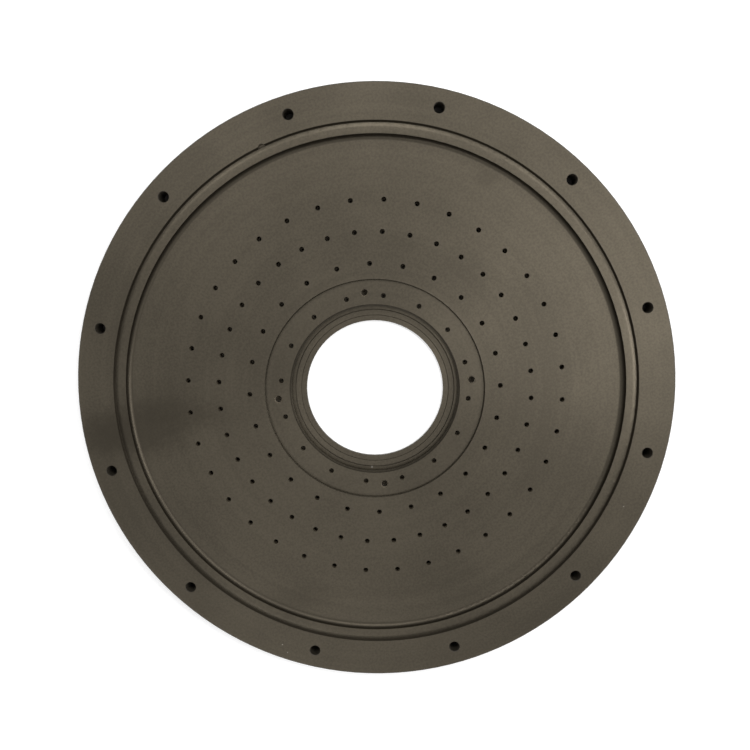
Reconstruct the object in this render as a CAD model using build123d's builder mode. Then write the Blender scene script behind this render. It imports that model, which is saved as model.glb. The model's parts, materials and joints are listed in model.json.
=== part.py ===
from build123d import *
from math import radians, tan
import os

# Gas distribution showerhead, one turned and drilled plate, in millimetres.
# It lies on its flat outlet face with the seal groove and the gas inlets up.
# The origin is on the axis, in the outlet face. Every full ring of holes has a hole on +X.

# Bolting flange
flange_diameter = 319.5
rim_chamfer = 0.5
bolt_edge_distance = 9.75
bolt_hole_diameter = 5.5
bolt_hole_break = 0.25
bolt_count = 12

# V-shaped seal groove inside the bolts: a steep outer flank, a rounded inner one,
# and the half-round notch that a seal is lifted at
groove_bolt_distance = 9.55
groove_depth = 0.7
groove_flank_angle = 55.0
groove_inner_width = 1.3
groove_inner_round = 5.0
notch_diameter = 3.8
notch_offset = 0.9
notch_angle = 97.45

# Land between the groove and the gas recess, and the recess's rounded wall
land_width = 4.45
land_drop = 0.5
wall_straight = 0.1
wall_fillet = 2.8
run_out_width = 5.4
run_out_drop = 0.15

# Hub recess, the deep seat inside it and its bevelled steps down to the centre bore
hub_width = 14.0
hub_step = 1.6
hub_chamfer = 0.45
seat_width = 2.0
seat_depth = 4.0
seat_chamfer = 1.0
outer_step = 0.55
outer_bevel = 0.5
cone_width = 3.0
cone_drop = 0.15
inner_step = 0.3
inner_bevel = 0.3
lip_width = 2.75
lip_thickness = 2.0
bore_diameter = 74.5
bore_break = 0.3

# Gas holes, each a wide inlet over a fine outlet
inlet_diameter = 2.7
outlet_diameter = 1.0
outlet_length = 2.0
first_ring_distance = 8.6
ring_counts = (24, 36, 36)
blank_band = 32.95
hub_ring_distance = 5.8
hub_ring_count = 16

# Tapped holes in the hub, drilled for an M4 thread, midway between two gas holes
tapped_distance = 7.5
tapped_count = 4
thread_core_diameter = 3.3
thread_mouth_diameter = 4.5
thread_web = 1.6
drill_point_angle = 118.0

# Heights above the outlet face, from the centre bore outwards
cone_foot = lip_thickness + inner_step
cone_top = cone_foot + cone_drop
seat_face = cone_top + outer_step
hub_face = seat_face + seat_depth
gas_face = hub_face + hub_step
land_face = gas_face + wall_fillet + wall_straight
flange_face = land_face + land_drop
groove_floor = land_face - groove_depth
wall_foot = gas_face - run_out_drop

# Radii outwards from the centre bore, then inwards from the rim
bore_radius = bore_diameter / 2
lip_radius = bore_radius + lip_width
cone_radius = lip_radius + cone_width
seat_radius = cone_radius + seat_width
hub_radius = seat_radius + hub_width
flange_radius = flange_diameter / 2
bolt_circle_radius = flange_radius - bolt_edge_distance
groove_outer_radius = bolt_circle_radius - groove_bolt_distance
groove_flank_width = (land_drop + groove_depth) / tan(radians(groove_flank_angle))
groove_floor_radius = groove_outer_radius - groove_flank_width
groove_inner_radius = groove_floor_radius - groove_inner_width
wall_radius = groove_inner_radius - land_width
run_out_radius = wall_radius - run_out_width

# Hole circles
hub_ring_radius = seat_radius + hub_ring_distance
tapped_circle_radius = seat_radius + tapped_distance
first_ring_radius = hub_radius + first_ring_distance
last_ring_radius = wall_radius - blank_band
ring_pitch = (last_ring_radius - first_ring_radius) / (len(ring_counts) - 1)
notch_circle_radius = groove_outer_radius - notch_offset


def corner(section, radius, height):
    """The corner of the turned section at one radius and height."""
    return section.vertices().sort_by_distance((radius, height))[0]


def gas_ring(radius, count, face):
    """One ring of stepped gas holes, wide from the inlet face down to the fine outlets."""
    with Locations((0, 0, face)):
        with PolarLocations(radius, count):
            CounterBoreHole(outlet_diameter / 2, inlet_diameter / 2, face - outlet_length)


with BuildPart() as showerhead_plate:
    # Half of the plate's section, turned about its axis
    with BuildSketch(Plane.XZ) as section:
        with BuildLine():
            Polyline(
                (bore_radius, 0),
                (flange_radius, 0),
                (flange_radius, flange_face),
                (groove_outer_radius, flange_face),
                (groove_floor_radius, groove_floor),
                (groove_inner_radius, land_face),
                (wall_radius, land_face),
                (wall_radius, wall_foot),
                (run_out_radius, gas_face),
                (hub_radius, gas_face),
                (hub_radius, hub_face),
                (seat_radius, hub_face),
                (seat_radius, seat_face),
                (cone_radius + outer_bevel, seat_face),
                (cone_radius, cone_top),
                (lip_radius + inner_bevel, cone_foot),
                (lip_radius, lip_thickness),
                (bore_radius, lip_thickness),
                close=True,
            )
        make_face()
        chamfer(corner(section, flange_radius, 0), rim_chamfer)
        chamfer(corner(section, flange_radius, flange_face), rim_chamfer)
        fillet(corner(section, groove_inner_radius, land_face), groove_inner_round)
        fillet(corner(section, wall_radius, wall_foot), wall_fillet)
        chamfer(corner(section, hub_radius, gas_face), hub_chamfer)
        chamfer(corner(section, seat_radius, hub_face), seat_chamfer)
        chamfer(corner(section, bore_radius, 0), bore_break)
    revolve(axis=Axis.Z)

    # Bolt holes through the flange, with their upper edges broken
    with Locations((0, 0, flange_face)):
        with PolarLocations(bolt_circle_radius, bolt_count):
            CounterSinkHole(
                bolt_hole_diameter / 2,
                bolt_hole_diameter / 2 + bolt_hole_break,
                counter_sink_angle=90,
            )

    # Notch in the groove's outer flank, down to the groove's floor
    with BuildSketch(Plane.XY.offset(groove_floor)):
        with PolarLocations(notch_circle_radius, 1, start_angle=notch_angle):
            Circle(notch_diameter / 2)
        Circle(groove_floor_radius, mode=Mode.SUBTRACT)
    extrude(amount=flange_face - groove_floor, mode=Mode.SUBTRACT)

    # Gas rings of the recess, evenly spaced out to the blank band, and the ring in the hub
    for number, count in enumerate(ring_counts):
        gas_ring(first_ring_radius + number * ring_pitch, count, gas_face)
    gas_ring(hub_ring_radius, hub_ring_count, hub_face)

    # Blind tapped holes with a countersunk mouth and the drill's point below
    core_radius = thread_core_diameter / 2
    point_height = core_radius / tan(radians(drill_point_angle / 2))
    core_depth = hub_face - thread_web - point_height
    tapped_start = -180 / hub_ring_count
    with Locations((0, 0, hub_face)):
        with PolarLocations(tapped_circle_radius, tapped_count, start_angle=tapped_start):
            CounterSinkHole(
                core_radius,
                thread_mouth_diameter / 2,
                depth=core_depth,
                counter_sink_angle=90,
            )
    with Locations((0, 0, thread_web)):
        with PolarLocations(tapped_circle_radius, tapped_count, start_angle=tapped_start):
            Cone(
                0,
                core_radius,
                point_height,
                align=(Align.CENTER, Align.CENTER, Align.MIN),
                mode=Mode.SUBTRACT,
            )

showerhead_plate.part.label = "showerhead_plate"
os.makedirs("parts", exist_ok=True)
export_step(showerhead_plate.part, "parts/showerhead_plate.step")
print("plate", flange_diameter, "by", round(flange_face, 3), "mm")
print("bolt circle", 2 * bolt_circle_radius, "hub gas circle", 2 * hub_ring_radius)
print("volume", round(showerhead_plate.part.volume), "mm3")
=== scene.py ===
"""Gas distribution showerhead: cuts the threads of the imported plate, puts its anodised finish on
and sets it on a pale floor, under the camera and the studio lamps."""

import json
import math

import bpy
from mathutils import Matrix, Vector

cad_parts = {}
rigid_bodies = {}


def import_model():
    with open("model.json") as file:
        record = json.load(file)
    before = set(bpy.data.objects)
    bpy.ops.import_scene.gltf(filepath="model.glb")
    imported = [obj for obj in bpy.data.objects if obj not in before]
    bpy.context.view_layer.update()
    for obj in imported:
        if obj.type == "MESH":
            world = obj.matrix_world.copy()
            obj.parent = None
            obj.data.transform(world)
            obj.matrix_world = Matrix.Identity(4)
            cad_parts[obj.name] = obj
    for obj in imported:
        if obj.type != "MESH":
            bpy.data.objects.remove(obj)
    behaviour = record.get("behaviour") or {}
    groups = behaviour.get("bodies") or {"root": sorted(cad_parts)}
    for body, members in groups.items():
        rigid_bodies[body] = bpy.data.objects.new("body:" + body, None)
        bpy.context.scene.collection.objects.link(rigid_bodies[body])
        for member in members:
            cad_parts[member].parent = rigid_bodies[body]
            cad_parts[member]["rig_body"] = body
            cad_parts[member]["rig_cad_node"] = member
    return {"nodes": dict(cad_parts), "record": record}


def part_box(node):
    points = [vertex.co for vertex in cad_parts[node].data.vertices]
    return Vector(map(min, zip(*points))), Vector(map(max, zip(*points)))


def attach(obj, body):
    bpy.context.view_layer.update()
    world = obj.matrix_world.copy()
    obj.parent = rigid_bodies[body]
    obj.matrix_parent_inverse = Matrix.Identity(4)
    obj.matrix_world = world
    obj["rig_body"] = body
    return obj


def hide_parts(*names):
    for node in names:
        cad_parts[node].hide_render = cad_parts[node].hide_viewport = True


bl_info = {
    "name": "Gas distribution showerhead",
    "version": (1, 0, 0),
    "blender": (4, 5, 0),
    "location": "View3D > Sidebar > Showerhead",
    "description": "Threads, anodised finish and studio stage for a turned showerhead plate",
    "category": "Object",
}

MM = 0.001
PLATE = "showerhead_plate"

# The plate's own sizes, from the frame
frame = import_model()
cad_low, cad_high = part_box(PLATE)
mounts = {mount["name"]: mount for mount in frame["record"]["mounts"]}
plate_radius = (cad_high.x - cad_low.x) / 2
bore_radius = mounts["centre_bore"]["dims"]["r_mm"] * MM
seat_radius = mounts["seat_bore"]["dims"]["r_mm"] * MM
bolt_circle_radius = mounts["flange_bolts"]["dims"]["pcd_mm"] * MM / 2
tapped_circle_radius = mounts["hub_screws"]["dims"]["pcd_mm"] * MM / 2
tapped_count = mounts["hub_screws"]["dims"]["count"]
hub_face = mounts["hub_face"]["pos_m"][2]

# The tapped holes stand midway between two of the hub's sixteen gas holes
TAPPED_START = math.radians(-11.25)

# Rings of the plate, from its axis outwards, that hold only drilled holes and flat faces
HOLE_BANDS = (
    (seat_radius + 1.2 * MM, seat_radius + 13.5 * MM),
    (seat_radius + 15.0 * MM, seat_radius + 75.0 * MM),
    (bolt_circle_radius - 8.5 * MM, bolt_circle_radius + 7.5 * MM),
)
# A face is level when its normal stands this upright. The level floors of the holes lie
# between these two heights.
LEVEL_NORMAL = 0.98
FLOOR_HEIGHTS = (0.0005 * MM, 5.0 * MM)

# Vertices closer than this are merged
MERGE_DISTANCE = 0.001 * MM

# Faces that meet at less than this are shaded as one
SMOOTH_ANGLE = math.radians(40)
# Vertices of a turned face lie on one ring when they agree to this
RING_GRID = 0.02 * MM
# A face belongs to a turned ring when its normal leans sideways by less than this
SIDEWAYS_LIMIT = 0.1

# Form of a metric thread: its height as a share of the pitch, and the slope of its flanks
THREAD_HEIGHT_SHARE = 0.5413
THREAD_FLANK_ANGLE = math.radians(30)
# The cutter starts this many turns too long, and stands this far above the hub's face
SPARE_TURNS = 3
CUTTER_OVERSHOOT = 0.1 * MM

# How far each pattern darkens the turned faces
CLOUD_SHARE = 0.35
BROAD_MARKS_SHARE = 0.5
MOTTLE_SHARE = 0.4
FINE_MARKS_SHARE = 0.2
# The broad marks are this many times as far apart as the fine ones
BROAD_SPACING = 12
# How much the roughness varies from mark to mark
ROUGHNESS_SPREAD = 0.06

# Darker patches and nicks of the turned faces, in millimetres from the plate's axis: middle x and
# y, half length across and along, turn in degrees, strength
DARK_PATCHES = (
    (-131.0, 17.0, 34.0, 17.0, -17, 0.65),
    (-146.0, 19.0, 18.0, 13.0, -12, 0.4),
    (-106.0, 19.5, 32.0, 10.0, -20, 0.5),
    (-111.5, 31.0, 30.0, 10.0, -17, 0.2),
    (-74.0, -98.5, 26.0, 9.0, -17, 0.2),
    (89.0, 89.0, 7.0, 5.0, -17, 0.25),
    (-18.0, -106.0, 34.0, 14.0, -17, 0.12),
)
NICKS = (
    (-14.4, -41.2, 0.7, 0.4, 70, 0.5),
    (-91.4, -121.4, 0.5, 0.35, 20, 0.3),
    (-90.1, -126.6, 0.5, 0.3, 40, 0.25),
    (110.1, -99.8, 0.5, 0.35, 10, 0.25),
)
# Lobes of a patch's torn edge: their share of its reach along, and the least in millimetres
LOBE_SHARE = 0.25
LEAST_LOBE = 0.3

# Painted shade in the turned corners, as dark rings in the groove's flank, at the foot of the
# recess wall and in the seat's chamfer: radius, width, strength
PAINTED_CORNER_SHADE = (
    (bolt_circle_radius - 9.95 * MM, 0.9 * MM, 0.75),
    (bolt_circle_radius - 17.5 * MM, 2.6 * MM, 0.65),
    (seat_radius + 0.85 * MM, 0.5 * MM, 0.8),
)

# Soft lamps: name, direction round the plate and height in degrees, share of the power
LAMPS = (
    ("right_low_lamp", -17, 42, 0.83),
    ("right_high_lamp", -17, 72, 0.25),
    ("corner_lamp", 28, 50, 0.5),
    ("back_lamp", 73, 50, 0.58),
    ("left_back_lamp", 118, 50, 0.36),
    ("front_left_lamp", 235, 38, 0.2),
)
# Distance and width of the lamps, and the ring of dark cloth, in metres
LAMP_DISTANCE = 1.5
LAMP_SIZE = 0.6
FLAG_RADIUS = 0.9
FLAG_HEIGHT = 0.54

# The floor lies this far below the plate, and its covered part, painted dark as the plate's
# shadow, starts this far in from the plate's rim and bore. The open part glows this much where it
# is seen directly.
FLOOR_GAP = 0.02 * MM
COVER_MARGIN = 0.5 * MM
FLOOR_GLOW = 0.4

# Colours of the stage
WHITE = (1.0, 1.0, 1.0, 1.0)
PALE_FLOOR = (0.8, 0.8, 0.8, 1.0)
# Painted shadow: the floor under the plate, seen only through its holes
PAINTED_SHADOW_FLOOR = (0.08, 0.075, 0.07, 1.0)
DARK_CLOTH = (0.02, 0.02, 0.02, 1.0)


class ThreadSizes(bpy.types.PropertyGroup):
    """Sizes of the tapped threads in the hub"""

    major_diameter: bpy.props.FloatProperty(
        name="Major diameter",
        description="Diameter over the thread's roots in the plate",
        default=4.0 * MM,
        unit="LENGTH",
    )
    pitch: bpy.props.FloatProperty(
        name="Pitch",
        description="Rise of the thread in one turn",
        default=0.7 * MM,
        unit="LENGTH",
    )
    depth: bpy.props.FloatProperty(
        name="Depth",
        description="Depth of the full thread below the hub's face",
        default=3.6 * MM,
        unit="LENGTH",
    )
    steps: bpy.props.IntProperty(
        name="Steps",
        description="Flats in one turn of the thread",
        default=32,
        min=12,
        max=64,
    )


class PlateFinish(bpy.types.PropertyGroup):
    """Colours and turning marks of the anodised plate"""

    anodised_colour: bpy.props.FloatVectorProperty(
        name="Anodised colour",
        description="Colour of the anodised surface",
        subtype="COLOR",
        size=3,
        min=0.0,
        max=1.0,
        default=(0.0880, 0.0749, 0.0541),
    )
    stained_colour: bpy.props.FloatVectorProperty(
        name="Stained colour",
        description="Darker tone of the clouding and the stains",
        subtype="COLOR",
        size=3,
        min=0.0,
        max=1.0,
        default=(0.0560, 0.0476, 0.0344),
    )
    # Dark tone of the patches; it also paints shade into the turned corners and into the holes of
    # the flange
    patch_and_shade_colour: bpy.props.FloatVectorProperty(
        name="Patch and shade colour",
        description="Dark tone of the dark patches, and of the painted shade in the turned corners and the flange's holes",
        subtype="COLOR",
        size=3,
        min=0.0,
        max=1.0,
        default=(0.036, 0.030, 0.021),
    )
    drilled_colour: bpy.props.FloatVectorProperty(
        name="Drilled colour",
        description="Colour of the dull walls of the drilled holes",
        subtype="COLOR",
        size=3,
        min=0.0,
        max=1.0,
        default=(0.10, 0.081, 0.055),
    )
    bare_colour: bpy.props.FloatVectorProperty(
        name="Bare colour",
        description="Colour of the nicks that go through the anodising",
        subtype="COLOR",
        size=3,
        min=0.0,
        max=1.0,
        default=(0.52, 0.50, 0.45),
    )
    roughness: bpy.props.FloatProperty(
        name="Roughness",
        description="Roughness of the turned faces across the turning marks",
        default=0.36,
        min=0.0,
        max=1.0,
        subtype="FACTOR",
    )
    grain: bpy.props.FloatProperty(
        name="Grain",
        description="Size of the fine mottling of the anodised surface",
        default=1.2 * MM,
        unit="LENGTH",
    )
    feed: bpy.props.FloatProperty(
        name="Feed",
        description="Distance between two turning marks",
        default=0.35 * MM,
        unit="LENGTH",
    )
    mark_depth: bpy.props.FloatProperty(
        name="Mark depth",
        description="Height of the turning marks",
        default=0.004 * MM,
        unit="LENGTH",
        precision=6,
    )


class StageSettings(bpy.types.PropertyGroup):
    """Camera, lamps and floor"""

    camera_place: bpy.props.FloatVectorProperty(
        name="Camera place",
        description="Where the camera stands, almost straight above the plate",
        subtype="TRANSLATION",
        size=3,
        default=(0.02491, 0.05183, 0.41770),
    )
    camera_turn: bpy.props.FloatVectorProperty(
        name="Camera turn",
        description="How the camera is tilted and turned",
        subtype="EULER",
        size=3,
        default=tuple(math.radians(turn) for turn in (-6.792, 1.149, -17.23)),
    )
    focal_length: bpy.props.FloatProperty(
        name="Focal length",
        description="Focal length of the lens, in millimetres",
        default=36.79,
    )
    lamp_power: bpy.props.FloatProperty(
        name="Lamp power",
        description="Power of the strongest lamp; the others keep their share of it",
        default=8.6,
        unit="POWER",
    )
    room_strength: bpy.props.FloatProperty(
        name="Room light",
        description="Strength of the even light from all round",
        default=0.55,
        min=0.0,
    )


def deselect_all():
    """Leaves nothing selected, in object mode."""
    if bpy.context.object is not None and bpy.context.object.mode != "OBJECT":
        bpy.ops.object.mode_set(mode="OBJECT")
    bpy.ops.object.select_all(action="DESELECT")


def make_active(piece):
    """Selects one piece alone and makes it the active one."""
    deselect_all()
    piece.select_set(True)
    bpy.context.view_layer.objects.active = piece


def draw_outline(name, points):
    """An open outline: one vertex, extruded from point to point."""
    deselect_all()
    bpy.ops.mesh.primitive_plane_add(size=1.0 * MM, location=(0, 0, 0))
    outline = bpy.context.object
    outline.name = name
    bpy.ops.object.mode_set(mode="EDIT")
    bpy.ops.mesh.merge(type="CENTER")
    bpy.ops.transform.translate(value=points[0])
    for start, end in zip(points, points[1:]):
        step = Vector(end) - Vector(start)
        bpy.ops.mesh.extrude_region_move(TRANSFORM_OT_translate={"value": step})
    bpy.ops.object.mode_set(mode="OBJECT")
    return outline


def cut_off(piece, height, keep_below):
    """Cuts a closed piece off at a height and closes the cut."""
    make_active(piece)
    bpy.ops.object.mode_set(mode="EDIT")
    bpy.ops.mesh.select_all(action="SELECT")
    bpy.ops.mesh.bisect(
        plane_co=(0, 0, height),
        plane_no=(0, 0, 1),
        use_fill=True,
        clear_outer=keep_below,
        clear_inner=not keep_below,
    )
    bpy.ops.object.mode_set(mode="OBJECT")


def apply_modifier(piece, kind, **settings):
    """Adds one modifier with its settings and applies it."""
    make_active(piece)
    bpy.ops.object.modifier_add(type=kind)
    modifier = piece.modifiers[-1]
    for setting, value in settings.items():
        setattr(modifier, setting, value)
    bpy.ops.object.modifier_apply(modifier=modifier.name)


def add_node(tree, kind, inputs=None, **settings):
    """Adds a node and sets or links its inputs, each given by name or number."""
    node = tree.nodes.new(kind)
    for setting, value in settings.items():
        setattr(node, setting, value)
    for socket, value in (inputs or {}).items():
        if isinstance(value, bpy.types.NodeSocket):
            tree.links.new(value, node.inputs[socket])
        else:
            node.inputs[socket].default_value = value
    return node


def calculate(tree, operation, *values):
    """The output of a Math node."""
    node = add_node(tree, "ShaderNodeMath", dict(enumerate(values)), operation=operation)
    return node.outputs[0]


def calculate_vector(tree, operation, *values):
    """The output of a Vector Math node, a number for a length and a vector otherwise."""
    node = add_node(
        tree, "ShaderNodeVectorMath", dict(enumerate(values)), operation=operation
    )
    return node.outputs["Value" if operation == "LENGTH" else "Vector"]


def flattened(tree, position):
    """A position without its height."""
    return calculate_vector(tree, "MULTIPLY", position, (1.0, 1.0, 0.0))


def distance_from_axis(tree, position):
    """How far a position lies from the plate's axis."""
    return calculate_vector(tree, "LENGTH", flattened(tree, position))


def blend_colours(tree, amount, first, second):
    """The output of a colour mix, from first at 0 to second at 1."""
    # Sockets 6 and 7 of a Mix node take its colours, and output 2 gives the mixed one
    node = add_node(
        tree,
        "ShaderNodeMix",
        {0: amount, 6: first, 7: second},
        data_type="RGBA",
        clamp_factor=True,
    )
    return node.outputs[2]


def map_range(tree, value, low, high, to_low=0.0, to_high=1.0):
    """Carries a value smoothly from one range to another."""
    node = add_node(
        tree,
        "ShaderNodeMapRange",
        {0: value, 1: low, 2: high, 3: to_low, 4: to_high},
        interpolation_type="SMOOTHSTEP",
    )
    return node.outputs[0]


def new_material(name):
    """An empty material with its shader and its output, joined."""
    material = bpy.data.materials.new(name)
    material.use_nodes = True
    tree = material.node_tree
    tree.nodes.clear()
    shader = add_node(tree, "ShaderNodeBsdfPrincipled")
    add_node(tree, "ShaderNodeOutputMaterial", {"Surface": shader.outputs[0]})
    return material, tree, shader


def new_group(name, inputs, outputs):
    """A shader node group with float or vector inputs and float outputs."""
    group = bpy.data.node_groups.new(name, "ShaderNodeTree")
    for socket, (kind, default) in inputs.items():
        made = group.interface.new_socket(socket, in_out="INPUT", socket_type=kind)
        made.default_value = default
    for socket in outputs:
        group.interface.new_socket(socket, in_out="OUTPUT", socket_type="NodeSocketFloat")
    entry = group.nodes.new("NodeGroupInput")
    leave = group.nodes.new("NodeGroupOutput")
    return group, entry, leave


def turning_marks_group():
    """Fine rings that a lathe tool leaves, round the plate's axis and along its walls."""
    group, entry, leave = new_group(
        "Turning marks",
        {
            "Position": ("NodeSocketVector", (0.0, 0.0, 0.0)),
            "Feed": ("NodeSocketFloat", 0.35 * MM),
            "Sweep": ("NodeSocketFloat", 1.5),
        },
        ("Marks",),
    )
    place = add_node(group, "ShaderNodeSeparateXYZ", {0: entry.outputs["Position"]})
    radius = distance_from_axis(group, entry.outputs["Position"])
    flat = flattened(group, entry.outputs["Position"])
    around = calculate_vector(group, "NORMALIZE", flat)
    along = calculate(group, "ADD", radius, place.outputs[2])
    turns = calculate(group, "DIVIDE", along, entry.outputs["Feed"])
    swept = add_node(
        group,
        "ShaderNodeVectorMath",
        {0: around, "Scale": entry.outputs["Sweep"]},
        operation="SCALE",
    )
    swept_parts = add_node(group, "ShaderNodeSeparateXYZ", {0: swept.outputs[0]})
    spiral = add_node(
        group,
        "ShaderNodeCombineXYZ",
        {0: swept_parts.outputs[0], 1: swept_parts.outputs[1], 2: turns},
    )
    noise = add_node(
        group,
        "ShaderNodeTexNoise",
        {"Vector": spiral.outputs[0], "Scale": 1.0, "Detail": 2.0, "Roughness": 0.6},
    )
    group.links.new(noise.outputs[0], leave.inputs["Marks"])
    return group


def ragged_patch_group():
    """Cover of one oval patch with a torn edge, from 0 outside to 1 in its middle."""
    group, entry, leave = new_group(
        "Ragged patch",
        {
            "Position": ("NodeSocketVector", (0.0, 0.0, 0.0)),
            "Middle": ("NodeSocketVector", (0.0, 0.0, 0.0)),
            "Turn": ("NodeSocketVector", (0.0, 0.0, 0.0)),
            "Reach": ("NodeSocketVector", (1.0, 1.0, 1.0)),
            "Grain": ("NodeSocketFloat", 4.0 * MM),
            "Raggedness": ("NodeSocketFloat", 1.0),
        },
        ("Cover",),
    )
    placed = add_node(
        group,
        "ShaderNodeMapping",
        {
            "Vector": entry.outputs["Position"],
            "Location": entry.outputs["Middle"],
            "Rotation": entry.outputs["Turn"],
            "Scale": entry.outputs["Reach"],
        },
        vector_type="TEXTURE",
    )
    distance = calculate_vector(group, "LENGTH", placed.outputs[0])
    noise = add_node(
        group,
        "ShaderNodeTexNoise",
        {
            "Vector": entry.outputs["Position"],
            "Scale": calculate(group, "DIVIDE", 1.0, entry.outputs["Grain"]),
            "Detail": 5.0,
            "Roughness": 0.6,
        },
    )
    uneven = calculate(group, "SUBTRACT", noise.outputs[0], 0.5)
    torn = calculate(
        group, "MULTIPLY_ADD", uneven, entry.outputs["Raggedness"], distance
    )
    # The cover is full up to 0.3 of the reach and fades out at 1.2
    group.links.new(map_range(group, torn, 1.2, 0.3), leave.inputs["Cover"])
    return group


def clouding_group():
    """Uneven tone of the anodising, in soft clouds."""
    group, entry, leave = new_group(
        "Anodising clouds",
        {
            "Position": ("NodeSocketVector", (0.0, 0.0, 0.0)),
            "Cloud size": ("NodeSocketFloat", 60.0 * MM),
        },
        ("Clouds",),
    )
    scale = calculate(group, "DIVIDE", 1.0, entry.outputs["Cloud size"])
    noise = add_node(
        group,
        "ShaderNodeTexNoise",
        {
            "Vector": entry.outputs["Position"],
            "Scale": scale,
            "Detail": 4.0,
            "Roughness": 0.55,
        },
    )
    clouds = map_range(group, noise.outputs[0], 0.35, 0.68)
    group.links.new(clouds, leave.inputs["Clouds"])
    return group


def use_group(tree, group, inputs):
    """Places a node group in a material and returns its first output."""
    return add_node(tree, "ShaderNodeGroup", inputs, node_tree=group).outputs[0]


def opaque(colour):
    """A colour with full alpha, as a node's socket takes it."""
    return (*colour, 1.0)


def add_patches(tree, group, position, places, colour, tint):
    """Lays ragged patches of one tint over a colour and returns the new colour."""
    for x, y, across, along, turn, strength in places:
        cover = use_group(
            tree,
            group,
            {
                "Position": position,
                "Middle": (x * MM, y * MM, 0.0),
                "Turn": (0.0, 0.0, math.radians(turn)),
                "Reach": (across * MM, along * MM, 1.0),
                "Grain": max(LOBE_SHARE * along, LEAST_LOBE) * MM,
            },
        )
        share = calculate(tree, "MULTIPLY", cover, strength)
        colour = blend_colours(tree, share, colour, tint)
    return colour


def add_painted_corner_shade(tree, position, colour, tint):
    """Paints shade into the turned corners, in rings with soft edges."""
    radius = distance_from_axis(tree, position)
    for middle, width, strength in PAINTED_CORNER_SHADE:
        away = calculate(tree, "ABSOLUTE", calculate(tree, "SUBTRACT", radius, middle))
        share = map_range(tree, away, 0.35 * width, 0.65 * width, strength, 0.0)
        colour = blend_colours(tree, share, colour, tint)
    return colour


def turned_material(finish, marks, clouds, patches):
    """Hard-anodised aluminium with the marks of turning round the plate's axis."""
    material, tree, shader = new_material("anodised_turned")
    position = add_node(tree, "ShaderNodeTexCoord").outputs["Object"]
    fine = use_group(tree, marks, {"Position": position, "Feed": finish.feed})
    broad = use_group(
        tree,
        marks,
        {"Position": position, "Feed": BROAD_SPACING * finish.feed, "Sweep": 0.7},
    )
    cloudy = use_group(tree, clouds, {"Position": position})
    mottled = use_group(tree, clouds, {"Position": position, "Cloud size": finish.grain})

    # The patterns add up to how far the anodised colour goes towards the stained one
    tone = calculate(tree, "MULTIPLY", cloudy, CLOUD_SHARE)
    for pattern, share in (
        (broad, BROAD_MARKS_SHARE),
        (mottled, MOTTLE_SHARE),
        (fine, FINE_MARKS_SHARE),
    ):
        tone = calculate(tree, "MULTIPLY_ADD", pattern, share, tone)
    colour = blend_colours(
        tree, tone, opaque(finish.anodised_colour), opaque(finish.stained_colour)
    )
    patch_and_shade_tone, bare = opaque(finish.patch_and_shade_colour), opaque(finish.bare_colour)
    # Painted shade darkens the turned corners, in the same dark tone as the patches
    colour = add_painted_corner_shade(tree, position, colour, patch_and_shade_tone)
    colour = add_patches(tree, patches, position, DARK_PATCHES, colour, patch_and_shade_tone)
    colour = add_patches(tree, patches, position, NICKS, colour, bare)
    tree.links.new(colour, shader.inputs["Base Color"])

    smoothest = finish.roughness - ROUGHNESS_SPREAD / 2
    rough = calculate(tree, "MULTIPLY_ADD", fine, ROUGHNESS_SPREAD, smoothest)
    tree.links.new(rough, shader.inputs["Roughness"])
    height = calculate(tree, "MULTIPLY", fine, finish.mark_depth)
    bump = add_node(
        tree, "ShaderNodeBump", {"Strength": 1.0, "Distance": 1.0, "Height": height}
    )
    tree.links.new(bump.outputs[0], shader.inputs["Normal"])
    shader.inputs["Metallic"].default_value = 0.85
    # The marks run round the axis, so a quarter turn spreads the highlight across them
    shader.inputs["Anisotropic"].default_value = 0.4
    shader.inputs["Anisotropic Rotation"].default_value = 0.25
    tangent = add_node(tree, "ShaderNodeTangent", direction_type="RADIAL", axis="Z")
    tree.links.new(tangent.outputs[0], shader.inputs["Tangent"])
    return material


def drilled_material(finish, clouds):
    """The same anodising on the drilled walls, dull and uneven, with painted shade darkening the
    walls of the holes in the flange.
    """
    material, tree, shader = new_material("anodised_drilled")
    position = add_node(tree, "ShaderNodeTexCoord").outputs["Object"]
    cloudy = use_group(tree, clouds, {"Position": position, "Cloud size": 3 * MM})
    share = calculate(tree, "MULTIPLY", cloudy, 0.4)
    colour = blend_colours(
        tree, share, opaque(finish.drilled_colour), opaque(finish.stained_colour)
    )
    radius = distance_from_axis(tree, position)
    # Painted shade: the walls of the holes in the flange are darkened
    in_flange = calculate(tree, "GREATER_THAN", radius, bolt_circle_radius - 10 * MM)
    colour = blend_colours(tree, in_flange, colour, opaque(finish.patch_and_shade_colour))
    tree.links.new(colour, shader.inputs["Base Color"])
    shader.inputs["Roughness"].default_value = 0.6
    shader.inputs["Metallic"].default_value = 0.3
    return material


def seen_directly(tree):
    """1 where the camera, a glossy surface or glass looks, and 0 for soft light."""
    ray = add_node(tree, "ShaderNodeLightPath")
    mirrored = calculate(
        tree, "MAXIMUM", ray.outputs["Is Glossy Ray"], ray.outputs["Is Transmission Ray"]
    )
    return calculate(tree, "MAXIMUM", ray.outputs["Is Camera Ray"], mirrored)


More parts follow.
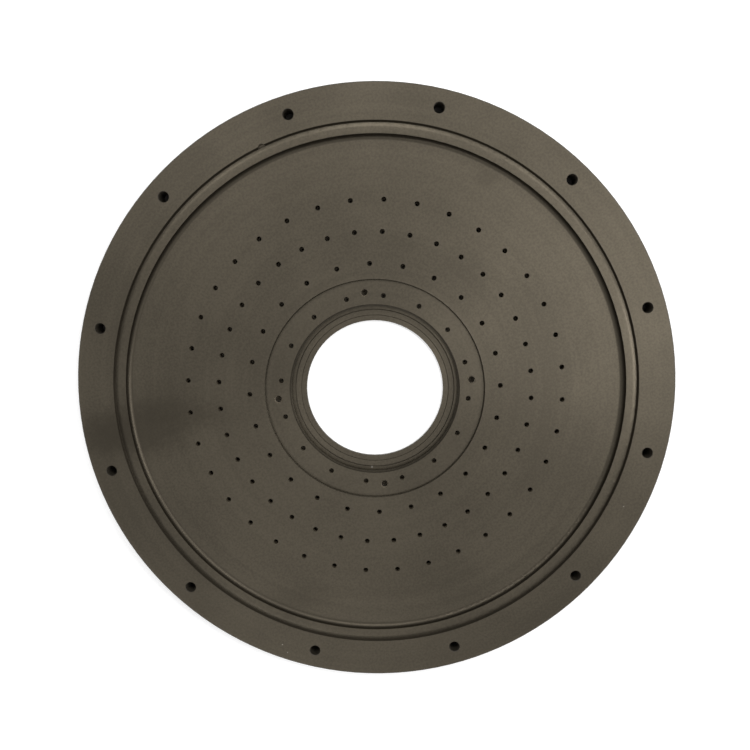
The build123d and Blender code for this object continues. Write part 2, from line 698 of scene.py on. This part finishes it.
def floor_material():
    """Pale floor that the camera sees as white, apart from the plate's shadow, and painted dark
    under the plate as painted shadow, which shows through its holes.
    """
    material, tree, shader = new_material("pale_floor")
    shader.inputs["Roughness"].default_value = 0.9
    shader.inputs["Specular IOR Level"].default_value = 0.1
    position = add_node(tree, "ShaderNodeTexCoord").outputs["Object"]
    radius = distance_from_axis(tree, position)
    outside = calculate(tree, "GREATER_THAN", radius, plate_radius - COVER_MARGIN)
    in_bore = calculate(tree, "LESS_THAN", radius, bore_radius + COVER_MARGIN)
    open_floor = calculate(tree, "MAXIMUM", outside, in_bore)
    # Painted shadow: the floor under the plate takes the dark colour
    colour = blend_colours(tree, open_floor, PAINTED_SHADOW_FLOOR, PALE_FLOOR)
    tree.links.new(colour, shader.inputs["Base Color"])
    glow_strength = calculate(tree, "MULTIPLY", open_floor, FLOOR_GLOW)
    glow = add_node(
        tree, "ShaderNodeEmission", {"Color": WHITE, "Strength": glow_strength}
    )
    lit = add_node(
        tree, "ShaderNodeAddShader", {0: shader.outputs[0], 1: glow.outputs[0]}
    )
    mixed = add_node(
        tree,
        "ShaderNodeMixShader",
        {0: seen_directly(tree), 1: shader.outputs[0], 2: lit.outputs[0]},
    )
    output = next(
        node for node in tree.nodes if node.bl_idname == "ShaderNodeOutputMaterial"
    )
    tree.links.new(mixed.outputs[0], output.inputs["Surface"])
    return material


def plate_copy():
    """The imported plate's mesh, merged into one closed skin in a piece of its own."""
    make_active(frame["nodes"][PLATE])
    bpy.ops.object.duplicate()
    plate = bpy.context.object
    plate.name = plate.data.name = "anodised_plate"
    # The copy isn't a node of the frame, so it drops the tags of one
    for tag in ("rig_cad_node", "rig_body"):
        del plate[tag]
    plate.parent = None
    plate.data.materials.clear()
    if plate.data.has_custom_normals:
        bpy.ops.mesh.customdata_custom_splitnormals_clear()
    bpy.ops.object.mode_set(mode="EDIT")
    bpy.ops.mesh.select_all(action="SELECT")
    bpy.ops.mesh.remove_doubles(threshold=MERGE_DISTANCE)
    bpy.ops.object.mode_set(mode="OBJECT")
    return plate


def thread_cutter(sizes):
    """One closed rod with the thread's form, from its bottom to just above the hub's face."""
    root = sizes.major_diameter / 2
    crest = root - THREAD_HEIGHT_SHARE * sizes.pitch
    flank = (root - crest) * math.tan(THREAD_FLANK_ANGLE)
    crest_flat, root_flat = sizes.pitch / 4, sizes.pitch / 8
    low = hub_face - sizes.depth - sizes.pitch
    profile = [
        (crest, 0, low),
        (crest, 0, low + crest_flat),
        (root, 0, low + crest_flat + flank),
        (root, 0, low + crest_flat + flank + root_flat),
        (crest, 0, low + sizes.pitch),
    ]
    cutter = draw_outline("thread_cutter", profile)
    turns = math.ceil((sizes.depth + CUTTER_OVERSHOOT) / sizes.pitch) + SPARE_TURNS
    apply_modifier(
        cutter,
        "SCREW",
        axis="Z",
        angle=2 * math.pi,
        screw_offset=sizes.pitch,
        iterations=turns,
        steps=sizes.steps,
        render_steps=sizes.steps,
        use_merge_vertices=True,
        merge_threshold=MERGE_DISTANCE,
    )
    cut_off(cutter, hub_face - sizes.depth, keep_below=False)
    cut_off(cutter, hub_face + CUTTER_OVERSHOOT, keep_below=True)
    bpy.ops.object.mode_set(mode="EDIT")
    bpy.ops.mesh.select_all(action="SELECT")
    bpy.ops.mesh.remove_doubles(threshold=MERGE_DISTANCE / 10)
    bpy.ops.mesh.normals_make_consistent(inside=False)
    bpy.ops.object.mode_set(mode="OBJECT")
    return cutter


def copy_round_axis(piece, radius, count, start):
    """Copies of a piece, each with its own mesh, on a circle round the plate's axis."""
    copies = []
    for number in range(count):
        angle = start + number * 2 * math.pi / count
        make_active(piece)
        bpy.ops.object.duplicate()
        made = bpy.context.object
        made.location = (radius * math.cos(angle), radius * math.sin(angle), 0)
        copies.append(made)
    bpy.data.objects.remove(piece)
    return copies


def cut_threads(plate, sizes):
    """Cuts the tapped threads into the plate."""
    cutters = copy_round_axis(
        thread_cutter(sizes), tapped_circle_radius, tapped_count, TAPPED_START
    )
    for cutter in cutters:
        apply_modifier(plate, "BOOLEAN", operation="DIFFERENCE", solver="EXACT", object=cutter)
        bpy.data.objects.remove(cutter)


def is_drilled(face):
    """Whether a face is the wall, the floor or the broken edge of a drilled hole."""
    radius = math.hypot(face.center.x, face.center.y)
    in_band = any(low < radius < high for low, high in HOLE_BANDS)
    steep = abs(face.normal.z) < LEVEL_NORMAL
    lowest, highest = FLOOR_HEIGHTS
    sunk = face.normal.z > LEVEL_NORMAL and lowest < face.center.z < highest
    return in_band and (steep or sunk)


def ring_of(place):
    """The ring round the plate's axis that a vertex lies on, as whole steps out and up."""
    radius = math.hypot(place.x, place.y)
    return round(radius / RING_GRID), round(place.z / RING_GRID)


def set_turned_normals(mesh):
    """Gives each ring of a turned face one slope all round, as turning does."""
    # Each ring keeps, for every slope that meets in it, the slope's sum and its faces' area
    turned, rings = [], {}
    for face in mesh.polygons:
        outward = Vector((face.center.x, face.center.y, 0)).normalized()
        sideways = face.normal.dot(Vector((-outward.y, outward.x, 0)))
        if face.material_index or abs(sideways) > SIDEWAYS_LIMIT:
            continue
        slope = math.atan2(face.normal.dot(outward), face.normal.z)
        turned.append((face, slope))
        for number in face.vertices:
            slopes = rings.setdefault(ring_of(mesh.vertices[number].co), {})
            total = slopes.setdefault(round(math.degrees(slope)), [0.0, 0.0])
            total[0] += slope * face.area
            total[1] += face.area

    # Slopes that are nearly the same share one normal, and sharper corners stay sharp
    normals = [corner.vector.copy() for corner in mesh.corner_normals]
    for face, slope in turned:
        for loop, number in zip(face.loop_indices, face.vertices):
            place = mesh.vertices[number].co
            near = [
                total
                for step, total in rings[ring_of(place)].items()
                if abs(math.radians(step) - slope) < SMOOTH_ANGLE
            ]
            mean = sum(total[0] for total in near) / sum(total[1] for total in near)
            outward = Vector((place.x, place.y, 0)).normalized()
            normals[loop] = outward * math.sin(mean) + Vector((0, 0, math.cos(mean)))
    mesh.normals_split_custom_set(normals)


class SHOWERHEAD_OT_plate(bpy.types.Operator):
    """Cut the threads into the plate and put its anodised finish on"""

    bl_idname = "showerhead.plate"
    bl_label = "Anodised plate"

    def execute(self, context):
        plate = plate_copy()
        cut_threads(plate, context.scene.showerhead_threads)
        finish = context.scene.showerhead_finish
        marks, clouds, patches = turning_marks_group(), clouding_group(), ragged_patch_group()
        plate.data.materials.append(turned_material(finish, marks, clouds, patches))
        plate.data.materials.append(drilled_material(finish, clouds))
        for face in plate.data.polygons:
            face.material_index = int(is_drilled(face))
        make_active(plate)
        bpy.ops.object.shade_smooth_by_angle(angle=SMOOTH_ANGLE)
        set_turned_normals(plate.data)
        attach(plate, "root")
        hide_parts(PLATE)
        return {"FINISHED"}


def add_lamp(name, azimuth, elevation, power):
    """A round soft lamp that looks at the plate's middle."""
    around, up = math.radians(azimuth), math.radians(elevation)
    toward = Vector(
        (math.cos(up) * math.cos(around), math.cos(up) * math.sin(around), math.sin(up))
    )
    deselect_all()
    bpy.ops.object.light_add(type="AREA", location=toward * LAMP_DISTANCE)
    lamp = bpy.context.object
    lamp.name = name
    lamp.rotation_euler = toward.to_track_quat("Z", "Y").to_euler()
    lamp.data.shape = "DISK"
    lamp.data.size = LAMP_SIZE
    lamp.data.energy = power


def add_flags():
    """A low ring of dark cloth round the plate, which keeps the bright room off its edges."""
    deselect_all()
    bpy.ops.mesh.primitive_cylinder_add(
        vertices=96,
        radius=FLAG_RADIUS,
        depth=FLAG_HEIGHT,
        end_fill_type="NOTHING",
        location=(0, 0, FLAG_HEIGHT / 2),
    )
    flags = bpy.context.object
    flags.name = "dark_flags"
    flags.visible_camera = False
    material, _, shader = new_material("dark_cloth")
    shader.inputs["Base Color"].default_value = DARK_CLOTH
    shader.inputs["Roughness"].default_value = 1.0
    flags.data.materials.append(material)


def add_floor():
    """The wide floor under the plate."""
    deselect_all()
    bpy.ops.mesh.primitive_plane_add(size=6.0, location=(0, 0, -FLOOR_GAP))
    floor = bpy.context.object
    floor.name = "floor"
    floor.data.materials.append(floor_material())


def add_room(scene, strength):
    """Even light from all round, and plain white wherever the room is seen directly."""
    world = bpy.data.worlds.new("white_room")
    scene.world = world
    world.use_nodes = True
    tree = world.node_tree
    tree.nodes.clear()
    room = add_node(tree, "ShaderNodeBackground", {"Color": WHITE, "Strength": strength})
    white = add_node(tree, "ShaderNodeBackground", {"Color": WHITE, "Strength": 1.0})
    mixed = add_node(
        tree,
        "ShaderNodeMixShader",
        {0: seen_directly(tree), 1: room.outputs[0], 2: white.outputs[0]},
    )
    add_node(tree, "ShaderNodeOutputWorld", {"Surface": mixed.outputs[0]})


def add_camera(scene, settings):
    """The camera that looks down on the plate."""
    deselect_all()
    bpy.ops.object.camera_add(
        location=settings.camera_place, rotation=settings.camera_turn
    )
    camera = bpy.context.object
    camera.name = "camera"
    camera.data.sensor_width = 36.0
    camera.data.lens = settings.focal_length
    camera.data.clip_start = 0.01
    scene.camera = camera


class SHOWERHEAD_OT_stage(bpy.types.Operator):
    """Set the floor, the lamps, the room and the camera"""

    bl_idname = "showerhead.stage"
    bl_label = "Floor, lamps and camera"

    def execute(self, context):
        settings = context.scene.showerhead_stage
        add_floor()
        for name, azimuth, elevation, share in LAMPS:
            add_lamp(name, azimuth, elevation, share * settings.lamp_power)
        add_flags()
        add_room(context.scene, settings.room_strength)
        add_camera(context.scene, settings)
        context.scene.view_settings.view_transform = "Standard"
        return {"FINISHED"}


class SHOWERHEAD_PT_panel(bpy.types.Panel):
    """Settings and steps of the showerhead, in the sidebar"""

    bl_label = "Showerhead"
    bl_idname = "SHOWERHEAD_PT_panel"
    bl_space_type = "VIEW_3D"
    bl_region_type = "UI"
    bl_category = "Showerhead"

    def draw(self, context):
        layout = self.layout
        for label, settings, step in (
            ("Threads", context.scene.showerhead_threads, None),
            ("Finish", context.scene.showerhead_finish, SHOWERHEAD_OT_plate),
            ("Stage", context.scene.showerhead_stage, SHOWERHEAD_OT_stage),
        ):
            box = layout.box()
            box.label(text=label)
            # The first two properties, rna_type and name, are Blender's own
            for setting in settings.bl_rna.properties.keys()[2:]:
                box.prop(settings, setting)
            if step is not None:
                box.operator(step.bl_idname)


CLASSES = (
    ThreadSizes,
    PlateFinish,
    StageSettings,
    SHOWERHEAD_OT_plate,
    SHOWERHEAD_OT_stage,
    SHOWERHEAD_PT_panel,
)


def register():
    for each in CLASSES:
        bpy.utils.register_class(each)
    scene = bpy.types.Scene
    scene.showerhead_threads = bpy.props.PointerProperty(type=ThreadSizes)
    scene.showerhead_finish = bpy.props.PointerProperty(type=PlateFinish)
    scene.showerhead_stage = bpy.props.PointerProperty(type=StageSettings)


def unregister():
    del bpy.types.Scene.showerhead_stage
    del bpy.types.Scene.showerhead_finish
    del bpy.types.Scene.showerhead_threads
    for each in reversed(CLASSES):
        bpy.utils.unregister_class(each)


def main():
    """Runs every step in order."""
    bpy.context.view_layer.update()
    register()
    bpy.ops.showerhead.plate()
    bpy.ops.showerhead.stage()


if __name__ == "__main__":
    main()
